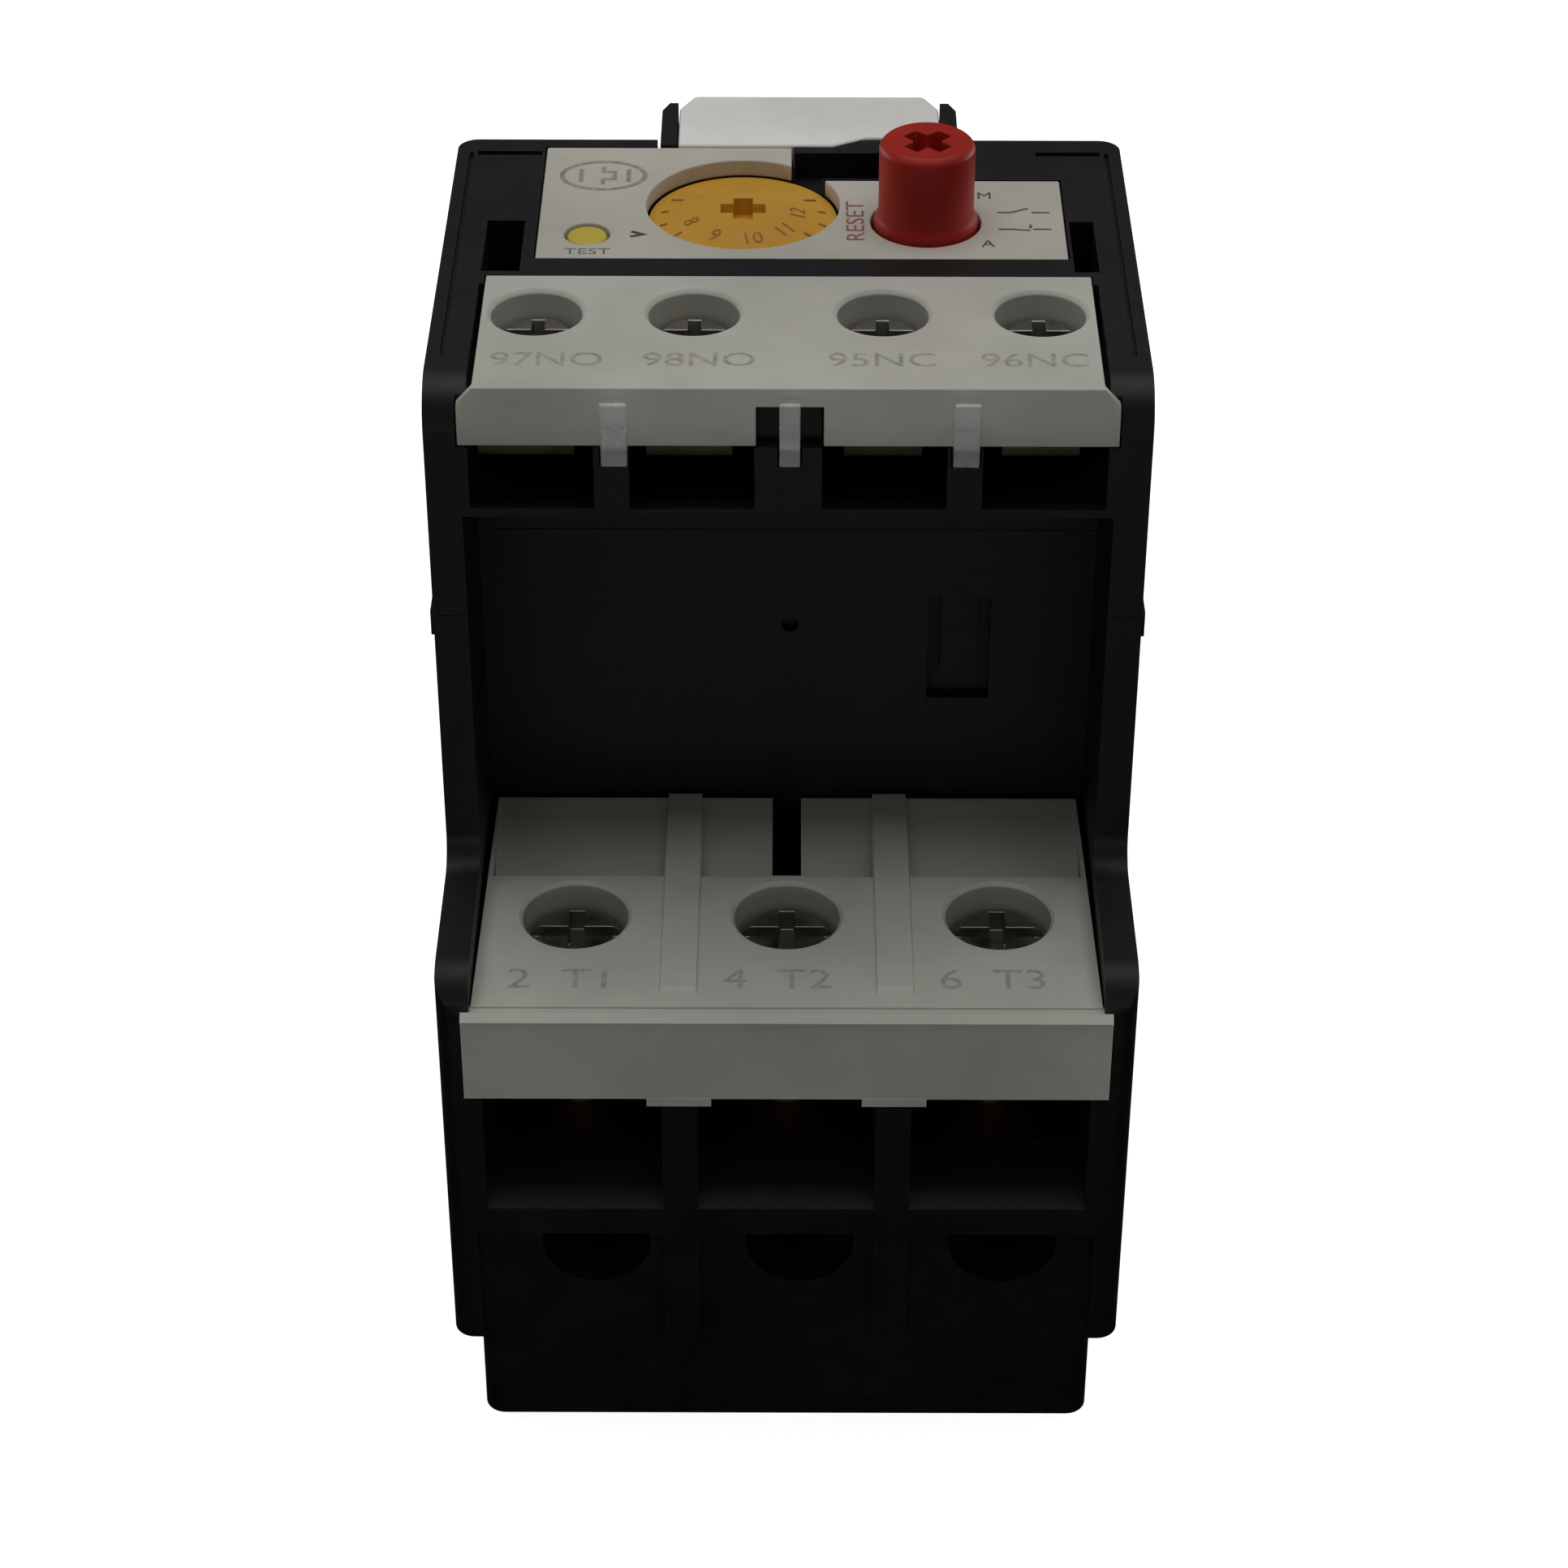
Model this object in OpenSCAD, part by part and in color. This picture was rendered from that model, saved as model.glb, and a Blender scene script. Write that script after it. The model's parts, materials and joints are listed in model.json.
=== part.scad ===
/* [Housing] */
// Width over the side cheeks
body_w = 45.2; // [44:0.1:48]
// Depth of the footprint, load side to contactor side
body_d = 48.6; // [47:0.2:52]
// Height of the operator deck above the rest face
deck_z = 73.8; // [73:0.2:76]
// Depth of the step between the two rows of terminals
step_d = 13.7; // [13.5:0.1:14]
// Thickness of a moulded wall
wall = 1.6; // [1.4:0.1:1.8]

/* [Terminals] */
// Distance between neighbouring poles
pole_pitch = 14; // [13.8:0.1:14.2]
// Diameter of a power screwdriver hole
power_hole_d = 7; // [6.6:0.1:7.4]
// Diameter of a power screw head
power_head_d = 6.2; // [5.6:0.1:6.4]
// Diameter of an auxiliary screwdriver hole
aux_hole_d = 5.8; // [5.4:0.1:6]
// Diameter of an auxiliary screw head
aux_head_d = 5; // [4.4:0.1:5.2]
// Diameter of a line pin
line_pin_d = 4; // [3:0.1:4.2]
// Length of a line pin outside its collar
line_pin_l = 10; // [6:0.5:14]

/* [Controls] */
// Diameter of the dial's well
dial_well_d = 12.9; // [12.6:0.1:13]
// Diameter of the reset button
reset_d = 6.3; // [6:0.1:6.5]
// Height of the reset button above the deck
reset_h = 5.9; // [5:0.1:8]
// Diameter of the test button
test_d = 2.65; // [2.2:0.05:2.7]

/* [Hidden] */
$fn = 48;

// Overlap of joined shapes, overshoot of cuts, and the fits between pieces
eps = 0.05;
over = 1;
gap = 0.1;
run_fit = 0.05;

// Plan of the housing
half_w = body_w / 2;
y_far = body_d / 2;
y_load = -y_far;
y_face = y_load + step_d;
y_recess = 0;
cheek_in = half_w - 2.2;
base_half_w = half_w - 1.75;
plan_r = 1.4;
arc_steps = 10;

// Heights of the housing
base_h = 7.8;
block_top = 38.3;
edge_r = 3;
step_r = 2;
split_z = deck_z - 16.4;
plate_t = 1.2;
plate_z = split_z - plate_t;
block_floor_z = deck_z - 9;
deck_t = 2.8;

// Panels below the wire entries, with their shelf and the ribs between poles
panel_step = 0.7;
panel_half = half_w - 2;
shelf_z0 = 17.2;
shelf_z1 = 19.4;
panel_rib_w = 2.3;
panel_rib_z = 7.3;

// Heater chamber and the line pins in it
chamber_w = 19.2;
chamber_y0 = y_recess + wall;
chamber_y1 = y_far - wall;
chamber_z0 = 2;
partition_t = 1.2;
partition_top = 48.8;
line_z = 30;
strip_y = 20.6;
strip_top = 45.6;
lug_t = 0.8;
collar_t = 0.8;

// Catch under the contactor, release slot of the snap finger, and ejector mark
catch_half = 4;
catch_reach = 2.4;
catch_z = [44, 47.2, 48.6];
slot_x = [9.4, 13.6];
slot_z = [44.1, 52.2];
finger_inset = 0.9;
finger_z0 = 46;
mark_at = [0.15, 50];
mark_d = 1.2;

// Power terminals
poles = [-pole_pitch, 0, pole_pitch];
power_y = y_load + 10.4;
bay_half = 5.85;
bar_top = 21.6;
bar_t = 1.6;
bar_w = 8;
bar_y0 = y_load + 4.3;
ramp_d = 3.5;
screw_well_z = 15.4;
power_shank_r = 2;
saddle_half = [5.2, 4.6];
saddle_z0 = 26.6;
saddle_z1 = 31.0;
sheet_t = 1.2;
power_head_h = 3.6;
power_tip_z = 20.4;

// Sockets below the wire entries: round, with a flat top
socket_r = 3.65;
socket_cz = 15.95;
socket_deep = 6.6;
socket_x = [-12.7, 0.9, 14.5];

// Power terminal cover
cover_z = block_top - 2.2;
cover_t = 1.2;
cover_y1 = -0.6;
fascia_z0 = 29.2;
fascia_z1 = 35.6;
fascia_half = half_w - 1.65;
fascia_y = y_load - 0.5;
tongue_w = 4.2;
tongue_h = 0.6;
cover_rib_w = 2.3;
cover_rib_h = 0.35;
cover_rib_y0 = y_load + 2.3;
scoop_y = -9.7;
scoop_deep = 1.8;
scoop_half = 5.75;
cover_slot_x = [-1.0, 0.95];
cover_slot_y = -7.7;

// Auxiliary terminals in the order 97, 98, 95, 96, with the two x limits of each inner leg
aux_x = [-16, -6, 6, 16];
aux_leg = [[-19.7, -18.1], [-9.0, -7.4], [5.0, 7.0], [15.0, 17.0]];
aux_y = y_face + 10.3;
aux_half = 3.9;
aux_z0 = block_floor_z + 0.6;
aux_plate_z = aux_z0 + 1.2;
aux_plate_t = 0.8;
aux_clamp_z = deck_z - 4.2;
aux_clamp_t = 0.7;
aux_clamp_half = [3.6, 3.5];
aux_head_h = 1.9;
aux_tip_z = 66.9;
aux_shank_r = 1.75;
aux_wall_y0 = 3.4;
aux_wall_y1 = 5.0;
nc_leg_y = 5.4;
no_leg_y = 11.8;
leg_t = 0.8;
leg_bottom = 59.8;
contact_z = 60.9;
contact_r = 0.75;
contact_h = 0.7;

// Auxiliary terminal cover and its latches
aux_cover_t = 1.1;
aux_cover_half = 19.5;
aux_cover_y1 = 4.45;
aux_fascia_half = 20.5;
aux_fascia_z = [deck_z - 3.85, deck_z - 2.25, deck_z - 1.1];
aux_fascia_lean = [0.22, 0.42];
aux_fascia_t = 0.9;
latch_x = [-10.8, 0.1, 11.05];
latch_w = [1.65, 1.3, 1.65];
latch_z = [68.6, 69.75, 71.4, 73.1];
latch_foot = 2;

// Features of the deck
label_t = 1.2;
label_x = [-16.5, 0.2, 18.2];
label_y = [6.95, 18.2, 23.1];
pocket_y = [5.1, 12.2];
pocket_floor = 69;
pocket_rim_z = 68.2;
left_pocket_x = [-19.9, -17.4];
right_pocket_x = [18.5, 20.1];
notch_x = [0.4, 6.5];
notch_y = [18.4, 22.3];
notch_floor = 71.9;
groove_x = [16.8, 21.2];
groove_y = [21.9, 22.5];
cheek_groove_x = half_w - 1;
cheek_groove_y0 = -6;
groove_deep = 0.3;
window_z = [split_z + 1.8, split_z + 4.8];
window_y = [[-4, 1], [12, 17]];
window_deep = 0.9;

// Marker tag and its holder
tag_x = [-7.6, 10.4];
tag_y = [label_y[2] + 0.2, 31];
tag_z = [71.75, deck_z + 0.15];
tag_slant_x = [3.0, 5.3];
holder_x = [-8.8, 11.6];
holder_y1 = 29.9;
holder_z = [66, 70.4, deck_z + 0.1];
holder_wall = 1.3;

// Dial: disc in the deck's well, sloped crown with a cross slot, and a spiral cam below the deck
dial_pos = [-3.05, 14.75];
dial_top = deck_z - 1.2;
dial_t = 1.6;
dial_crown_r = [2.2, 5.8];
dial_crown_h = 0.85;
well_floor = dial_top - dial_t - 0.4;
dial_shaft_r = 2;
cam_z0 = 63.4;
cam_h = 1.8;
cam_mid_r = 2.8;
cam_rise = 0.3; // per radian
cam_shaft_z = cam_z0 - 0.2;

// Reset button with its selector
reset_pos = [9.05, 12.2];
reset_stem_r = 1.8;
reset_stem_z = 65.6;
reset_skirt_z = deck_z - 3;
reset_skirt_d = 6.9;
reset_flare = [0.2, 0.9];
selector_r = 3.5;
selector_z0 = 63.6;
selector_z1 = 66.4;
selector_pin_at = 2.6;
selector_pin_r = 0.7;
selector_pin_l = 1.1;
reset_bore_z = 62;

// Test button
test_pos = [-13.25, 10.35];
test_stem_r = 0.8;
test_flange_r = 1.75;
test_well_r = 1.85;
test_well_z = [66, 71.6];
test_z = [65.4, 70.4, 71.3, deck_z - 0.1];

// Trip mechanism
lever_pivot = [-15, 17.5];
adjuster_pivot = [-12.5, 19.0];
adjuster_pin_z = [63, 71.4];
pin_r = 0.8;
lever_z = [split_z + 0.5, split_z + 2.1];
lever_hub_r = 1.9;
lever_arm = 1.2;
lever_reach = 5.4;
comp_t = 0.8;
comp_y = [10.2, 16.0];
slide_z0 = 49.0;
slide_z1 = 52.4;
slide_x = [-18.9, 16.9];
slide_y = [15.6, 17.4];
slide_finger = 1.3;
nose_x = [-17.3, -15.7];
nose_y = [10.4, 11.6];
nose_top = 59.4;
nose_arm_z = [52.9, 54.5];
bimetal_t = 0.9;
bimetal_y0 = 10;
bimetal_y1 = 15;
bimetal_z0 = 3;
bimetal_top = 52.0;
bimetal_foot_t = 1.4;
carrier_x = [-19.9, 17.6];
carrier_y = [7.6, 8.8];
carrier_z = [59.8, 61.6, 62.3];
hook_x = [-11.0, -9.4];
hook_y = [18.4, 19.6];
bridge_z = [60.2, 61.5];
bridge_t = 0.6;

// Points of an arc about c, from angle a0 to a1
function arc(c, r, a0, a1, n = arc_steps) =
  [for (i = [0:n]) c + r * [cos(a0 + (a1 - a0) * i / n), sin(a0 + (a1 - a0) * i / n)]];

// Rectangle with rounded corners, lo and hi its opposite corners
function round_rect(lo, hi, r) = concat(
  arc([hi[0] - r, hi[1] - r], r, 0, 90), arc([lo[0] + r, hi[1] - r], r, 90, 180),
  arc([lo[0] + r, lo[1] + r], r, 180, 270), arc([hi[0] - r, lo[1] + r], r, 270, 360));

function mean(pair) = (pair[0] + pair[1]) / 2;

// Points of a tube swept round the Z axis as a helix, stretched to the half widths rx and ry
function helix_point(rx, ry, rise, turns, steps, i, wire, k, sides) =
  let (t = 360 * turns * i / steps, a = 360 * k / sides)
  [(rx + wire * cos(a)) * cos(t), (ry + wire * cos(a)) * sin(t), rise * i / steps + wire * sin(a)];

module helix(rx, ry, rise, turns, wire, per_turn = 12, sides = 6) {
  steps = turns * per_turn;
  points = [for (i = [0:steps]) for (k = [0:sides - 1])
    helix_point(rx, ry, rise, turns, steps, i, wire, k, sides)];
  skin = [for (i = [0:steps - 1]) for (k = [0:sides - 1])
    let (a = i * sides + k, b = i * sides + (k + 1) % sides)
    each [[a, a + sides, b + sides], [a, b + sides, b]]];
  ends = [[for (k = [0:sides - 1]) k], [for (k = [sides - 1:-1:0]) steps * sides + k]];
  polyhedron(points = points, faces = concat(skin, ends), convexity = 10);
}

// Box given by its low and high corners
module block(lo, hi) {
  translate(lo) cube(hi - lo);
}

// Prism along X with its outline in Y and Z
module side_prism(x0, x1, outline) {
  translate([x0, 0, 0]) rotate([90, 0, 90]) linear_extrude(x1 - x0) polygon(outline);
}

module upright(pos, r, z0, z1) {
  translate([pos[0], pos[1], z0]) cylinder(r = r, h = z1 - z0);
}

module tube(pos, r_out, r_in, z0, z1) {
  difference() {
    upright(pos, r_out, z0, z1);
    upright(pos, r_in, z0 - over, z1 + over);
  }
}

// Cylinder along Y from y0 to y1, through the point at = [x, z]
module rod(at, r, y0, y1) {
  translate([at[0], y0, at[1]]) rotate([-90, 0, 0]) cylinder(r = r, h = y1 - y0);
}

// Cone frustum that narrows or widens by flare over its height
module taper(pos, r, flare, z0, z1) {
  translate([pos[0], pos[1], z0]) cylinder(r1 = r, r2 = r + flare, h = z1 - z0);
}

// Cross recess cut down from z, turned by angle
module cross_slot(pos, z, len, w, deep, angle = 0) {
  for (a = [angle, angle + 90])
    translate([pos[0], pos[1], z - deep]) rotate(a)
      translate([-len / 2, -w / 2, 0]) cube([len, w, deep + over]);
}

// Straight slot along X across a head, cut down from z
module head_slot(pos, z, w, deep, reach) {
  block([pos[0] - reach, pos[1] - w / 2, z - deep], [pos[0] + reach, pos[1] + w / 2, z + over]);
}

// Plan outline of both housings, with rounded corners
module plan_limit(z0, z1) {
  translate([0, 0, z0]) linear_extrude(z1 - z0)
    polygon(round_rect([-half_w, y_load], [half_w, y_far], plan_r));
}

function rear_outline() = concat(
  [[y_far, base_h], [y_load, base_h]],
  arc([y_load + edge_r, block_top - edge_r], edge_r, 180, 90),
  arc([y_face - step_r, block_top + step_r], step_r, 270, 360),
  [[y_face, split_z], [y_far, split_z]]);

function front_outline() = concat(
  [[y_far, split_z + eps], [y_face, split_z + eps]],
  arc([y_face + edge_r, deck_z - edge_r], edge_r, 180, 90),
  [[y_far, deck_z]]);

module rear_shell() {
  rim_t = 0.25;
  rim_h = 1.8;
  intersection() {
    side_prism(-half_w, half_w, rear_outline());
    plan_limit(base_h, split_z);
  }
  linear_extrude(base_h + eps)
    polygon(round_rect([-base_half_w, y_load + panel_step], [base_half_w, y_far], plan_r));
  // rim along the parting line
  for (s = [-1, 1])
    block([s * half_w - rim_t, y_face + 0.6, split_z - rim_h], [s * half_w + rim_t, y_far - 2, split_z]);
}

// Rib with a round lower end, between two poles on the panels below the wire entries
module panel_rib(x) {
  r = panel_rib_w / 2;
  block([x - r, y_load, panel_rib_z + r], [x + r, y_load + panel_step + eps, shelf_z0 + eps]);
  rod([x, panel_rib_z + r], r, y_load, y_load + panel_step + eps);
}

module power_bay(x) {
  screw_clear = 0.4;
  block([x - bay_half, y_load - over, bar_top], [x + bay_half, y_recess, cover_z]);
  // lead-in for the conductor
  side_prism(x - bay_half, x + bay_half, [[y_load - eps, shelf_z1], [y_load + ramp_d, bar_top],
    [y_load + ramp_d, bar_top + over], [y_load - eps, bar_top + over]]);
  block([x - bar_w / 2 - gap, bar_y0 - gap, bar_top - bar_t - gap],
    [x + bar_w / 2 + gap, chamber_y0 + eps, bar_top + eps]);
  upright([x, power_y], power_shank_r + screw_clear, screw_well_z, bar_top);
}

module wire_socket(x) {
  intersection() {
    rod([x, socket_cz], socket_r, y_load - over, y_load + socket_deep);
    block([x - 5, y_load - 2, 5], [x + 5, y_recess, shelf_z0]);
  }
}

module heater_bay(x0, x1) {
  block([x0, chamber_y0, chamber_z0], [x1, chamber_y1, partition_top + eps]);
}

module bimetal_foot(x) {
  half_foot = 2.2;
  half_slot = bimetal_t / 2 + eps;
  difference() {
    block([x - half_foot, bimetal_y0 - bimetal_foot_t, chamber_z0 - eps],
      [x + half_foot, bimetal_y1 + bimetal_foot_t, base_h]);
    block([x - half_slot, bimetal_y0 - eps, bimetal_z0], [x + half_slot, bimetal_y1 + eps, base_h + over]);
  }
}

// Slot round the finger that snaps onto the contactor
module release_slot() {
  difference() {
    block([slot_x[0], -eps, slot_z[0]], [slot_x[1], 1.0, slot_z[1]]);
    block([slot_x[0] + finger_inset, -over, finger_z0], [slot_x[1] - finger_inset, 0.7, slot_z[1] + eps]);
  }
}

module rear_housing() {
  half_p = partition_t / 2;
  mid = pole_pitch / 2;
  color([0.06, 0.06, 0.06]) {
    difference() {
      rear_shell();
      // wiring recess between the cheeks, down to the power cover
      block([-cheek_in, y_load - over, cover_z - cover_t], [cheek_in, y_recess, split_z + over]);
      block([-fascia_half - gap, y_load - over, fascia_z0 - gap],
        [fascia_half + gap, y_load + over, fascia_z1 + gap]);
      for (x = poles) power_bay(x);
      for (x = socket_x) wire_socket(x);
      block([-panel_half, y_load - over, base_h - eps], [panel_half, y_load + panel_step, shelf_z0]);
      heater_bay(-chamber_w, -mid - half_p);
      heater_bay(-mid + half_p, mid - half_p);
      heater_bay(mid + half_p, chamber_w);
      block([-chamber_w, chamber_y0, partition_top], [chamber_w, chamber_y1, plate_z + eps]);
      block([-cheek_in, chamber_y0, plate_z], [cheek_in, chamber_y1, split_z + over]);
      for (x = poles) rod([x, line_z], line_pin_d / 2 + gap, chamber_y1 - over, y_far + over);
      release_slot();
      rod(mark_at, mark_d / 2, -eps, wall / 2);
    }
    for (s = [-1, 1]) panel_rib(s * mid);
    for (x = poles) bimetal_foot(x);
    // catch that hooks under the contactor
    side_prism(-catch_half, catch_half, [[y_far - eps, catch_z[0]], [y_far + catch_reach, catch_z[1]],
      [y_far + catch_reach, catch_z[2]], [y_far - eps, catch_z[2]]]);
  }
}

module aux_chamber(x) {
  block([x - aux_half, y_face - over, aux_z0], [x + aux_half, aux_wall_y0, deck_z + over]);
}

function label_outline(g = 0) = concat(
  [[label_x[0] - g, label_y[0] - g], [label_x[2] + g, label_y[0] - g], [label_x[2] + g, label_y[1] + g]],
  [[label_x[1] + g, label_y[1] + g], [label_x[1] + g, label_y[2] + g], [label_x[0] - g, label_y[2] + g]]);

// Front edge of the marker tag, which steps back behind the rim of the deck
function tag_front(x0, x1, y0) =
  [[x0, y0], [tag_slant_x[0], y0], [tag_slant_x[1], y_far + 0.2], [x1, y_far + 0.2]];

// Thickened material round what passes through the deck
module deck_boss(pos, r, z0) {
  upright(pos, r, z0, deck_z - deck_t + eps);
}

module front_shell() {
  boss_z = 63.9;
  boss_r = 2.7;
  difference() {
    intersection() {
      side_prism(-half_w, half_w, front_outline());
      plan_limit(split_z, deck_z);
    }
    block([-cheek_in, y_face - over, split_z - over], [cheek_in, y_recess, block_floor_z]);
    block([-cheek_in, chamber_y0, split_z - over], [cheek_in, chamber_y1, block_floor_z + eps]);
    block([-cheek_in, aux_wall_y1, block_floor_z], [cheek_in, chamber_y1, deck_z - deck_t]);
  }
  for (x = aux_x) upright([x, aux_y], boss_r, boss_z, block_floor_z + eps);
  deck_boss(dial_pos, dial_well_d / 2 + 1.4, well_floor - 1);
  deck_boss(reset_pos, reset_skirt_d / 2 + 1.1, selector_z0 - 0.7);
  deck_boss(test_pos, 2.8, test_well_z[0] - 1);
  deck_boss(adjuster_pivot, 2, test_well_z[0]);
  for (x = [[-cheek_in - eps, left_pocket_x[1] + wall / 2], [right_pocket_x[0] - wall / 2, cheek_in + eps]])
    block([x[0], aux_wall_y1 - gap, pocket_rim_z], [x[1], pocket_y[1] + wall / 2, deck_z - deck_t + eps]);
}

module aux_seats() {
  latch_gap = 0.12;
  for (x = aux_x) aux_chamber(x);
  for (leg = aux_leg) block([leg[0] - gap, aux_wall_y0 - eps, aux_plate_z - gap],
    [leg[1] + gap, aux_wall_y1 + eps, aux_plate_z + aux_plate_t + gap]);
  for (x = aux_x) upright([x, aux_y], aux_shank_r + 0.2, block_floor_z - 0.3, aux_z0 + eps);
  // seat of the cover and of its latches
  block([-aux_cover_half - gap, y_face - over, deck_z - aux_cover_t],
    [aux_cover_half + gap, aux_cover_y1 + gap, deck_z + over]);
  block([-aux_fascia_half - gap, y_face - over, aux_fascia_z[0] - gap],
    [aux_fascia_half + gap, y_face + aux_fascia_t + gap, deck_z + over]);
  for (i = [0:2]) block([latch_x[i] - latch_w[i] / 2 - latch_gap, y_face - over, latch_z[0] - gap],
    [latch_x[i] + latch_w[i] / 2 + latch_gap, y_face + latch_foot + gap, aux_fascia_z[0]]);
}

module deck_grooves() {
  for (s = [-1, 1]) {
    block([s * mean(groove_x) - 2.2, groove_y[0], deck_z - groove_deep],
      [s * mean(groove_x) + 2.2, groove_y[1], deck_z + over]);
    block([s * cheek_groove_x - 0.15, cheek_groove_y0, deck_z - groove_deep],
      [s * cheek_groove_x + 0.15, y_far - 2, deck_z + over]);
    // snap windows on the sides
    for (y = window_y)
      block([s * half_w - window_deep, y[0], window_z[0]], [s * half_w + window_deep, y[1], window_z[1]]);
  }
}

module front_housing() {
  color([0.07, 0.07, 0.07])
  difference() {
    front_shell();
    aux_seats();
    translate([0, 0, deck_z - label_t]) linear_extrude(label_t + over) polygon(label_outline(gap));
    upright(dial_pos, dial_well_d / 2, well_floor, deck_z + over);
    upright(dial_pos, dial_shaft_r + run_fit, split_z, deck_z);
    upright(reset_pos, reset_skirt_d / 2 + run_fit, reset_bore_z, deck_z + over);
    upright(test_pos, test_d / 2 + run_fit, mean(test_well_z), deck_z + over);
    upright(test_pos, test_well_r, test_well_z[0], test_well_z[1]);
    upright(test_pos, test_stem_r + run_fit, split_z, deck_z - over);
    upright(adjuster_pivot, pin_r, split_z, adjuster_pin_z[1] + gap);
    for (x = [left_pocket_x, right_pocket_x])
      block([x[0], pocket_y[0], pocket_floor], [x[1], pocket_y[1], deck_z + over]);
    block([notch_x[0], notch_y[0], notch_floor], [notch_x[1], notch_y[1], deck_z + over]);
    deck_grooves();
    // place of the tag holder
    translate([0, 0, holder_z[1] - gap]) linear_extrude(deck_z)
      polygon(concat(tag_front(holder_x[0] - 0.2, holder_x[1] + 0.2, tag_y[0] - gap),
        [[holder_x[1] + 0.2, y_far + over], [holder_x[0] - 0.2, y_far + over]]));
  }
}

module label_plate() {
  color([0.6, 0.59, 0.55])
  difference() {
    translate([0, 0, deck_z - label_t]) linear_extrude(label_t) polygon(label_outline());
    upright(dial_pos, dial_well_d / 2, deck_z - 2, deck_z + over);
    upright(reset_pos, reset_skirt_d / 2 + 0.2, deck_z - 2, deck_z + over);
    upright(test_pos, test_d / 2 + 0.2, deck_z - 2, deck_z + over);
  }
}

// Thin bar across the cover, which the mitred front edge is stretched over
module cover_bar(half, y, z) {
  block([-half, y, z - eps], [half, y_face + aux_fascia_t, z]);
}

module aux_terminal_cover() {
  z_under = deck_z - aux_cover_t + eps;
  hole_r = aux_hole_d / 2;
  color([0.6, 0.59, 0.56])
  difference() {
    union() {
      block([-aux_cover_half, y_face + aux_fascia_t - eps, z_under], [aux_cover_half, aux_cover_y1, deck_z]);
      hull() {
        cover_bar(aux_cover_half, y_face + aux_fascia_lean[1], deck_z);
        cover_bar(aux_fascia_half, y_face + aux_fascia_lean[0], aux_fascia_z[2]);
        cover_bar(aux_fascia_half, y_face, aux_fascia_z[1]);
        cover_bar(aux_fascia_half, y_face, aux_fascia_z[0] + eps);
      }
      for (x = aux_x) tube([x, aux_y], hole_r + 0.4, hole_r, aux_clamp_z + aux_clamp_t + 0.3, z_under + eps);
    }
    for (x = aux_x) {
      upright([x, aux_y], hole_r, aux_clamp_z, deck_z + over);
      taper([x, aux_y], hole_r, 0.35, deck_z - 0.3, deck_z + eps);
    }
    // gap in front of the middle latch
    block([-2.0, y_face - over, aux_fascia_z[0] - over], [2.2, y_face + aux_fascia_t + eps, deck_z - 1.2]);
  }
}

module cover_latch(x, w) {
  lip = 0.5;
  thin = 0.2;
  color([0.72, 0.72, 0.7]) {
    block([x - w / 2, y_face - lip, latch_z[2]], [x + w / 2, y_face - gap, latch_z[3]]);
    block([x - w / 2, y_face - lip + thin, latch_z[0]], [x + w / 2, y_face - gap, latch_z[2] + eps]);
    block([x - w / 2, y_face - lip + thin, latch_z[0]], [x + w / 2, y_face + latch_foot, latch_z[1]]);
  }
}

// Side view of the power cover's fascia, which leans over its lower edge
function fascia_outline() = [[y_load + 0.9, fascia_z0], [y_load + 0.9, cover_z - 0.2],
  [fascia_y + 0.5, cover_z - 0.1], [fascia_y, fascia_z1], [fascia_y + 0.15, fascia_z1 - 0.7],
  [fascia_y + 0.15, fascia_z0]];

// Rib between two poles, sloped at its front end
module cover_rib(x) {
  side_prism(x - cover_rib_w / 2, x + cover_rib_w / 2, [[cover_y1, cover_z - eps],
    [cover_y1, cover_z + cover_rib_h], [cover_rib_y0, cover_z + cover_rib_h],
    [cover_rib_y0 - 0.5, cover_z - eps]]);
}

// Floor of a pole's scoop, which falls from the back edge towards the screw
module scoop_floor(x) {
  side_prism(x - scoop_half, x + scoop_half, [[cover_y1, cover_z], [cover_y1, cover_z - cover_t],
    [scoop_y - cover_t, cover_z - scoop_deep - cover_t], [scoop_y - cover_t, cover_z - eps]]);
}

module scoop_cut(x) {
  side_prism(x - scoop_half, x + scoop_half, [[cover_y1 - 0.4, cover_z], [scoop_y, cover_z - scoop_deep],
    [scoop_y, cover_z + over], [cover_y1 - 0.4, cover_z + over]]);
}

module power_terminal_cover() {
  z0 = cover_z - cover_t + eps;
  hole_r = power_hole_d / 2;
  hole_wall = 0.8;
  back_half = 19.9;
  front_half = 20.3;
  color([0.58, 0.57, 0.53])
  difference() {
    union() {
      translate([0, 0, z0]) linear_extrude(cover_z - z0) polygon([[-front_half, y_load + 0.6],
        [front_half, y_load + 0.6], [back_half, cover_y1], [-back_half, cover_y1]]);
      side_prism(-fascia_half, fascia_half, fascia_outline());
      for (s = [-1, 1]) {
        cover_rib(s * pole_pitch / 2);
        block([s * pole_pitch / 2 - tongue_w / 2, fascia_y + 0.12, fascia_z0 - tongue_h],
          [s * pole_pitch / 2 + tongue_w / 2, y_load - 0.04, fascia_z0 + eps]);
      }
      for (x = poles) {
        scoop_floor(x);
        upright([x, power_y], hole_r + hole_wall, saddle_z1 + 0.3, z0 + eps);
      }
    }
    for (x = poles) {
      scoop_cut(x);
      upright([x, power_y], hole_r, saddle_z0, cover_z + over);
      taper([x, power_y], hole_r, 0.3, cover_z - 0.25, cover_z + eps);
    }
    block([cover_slot_x[0], cover_slot_y, saddle_z0], [cover_slot_x[1], over, cover_z + 2]);
  }
}

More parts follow.
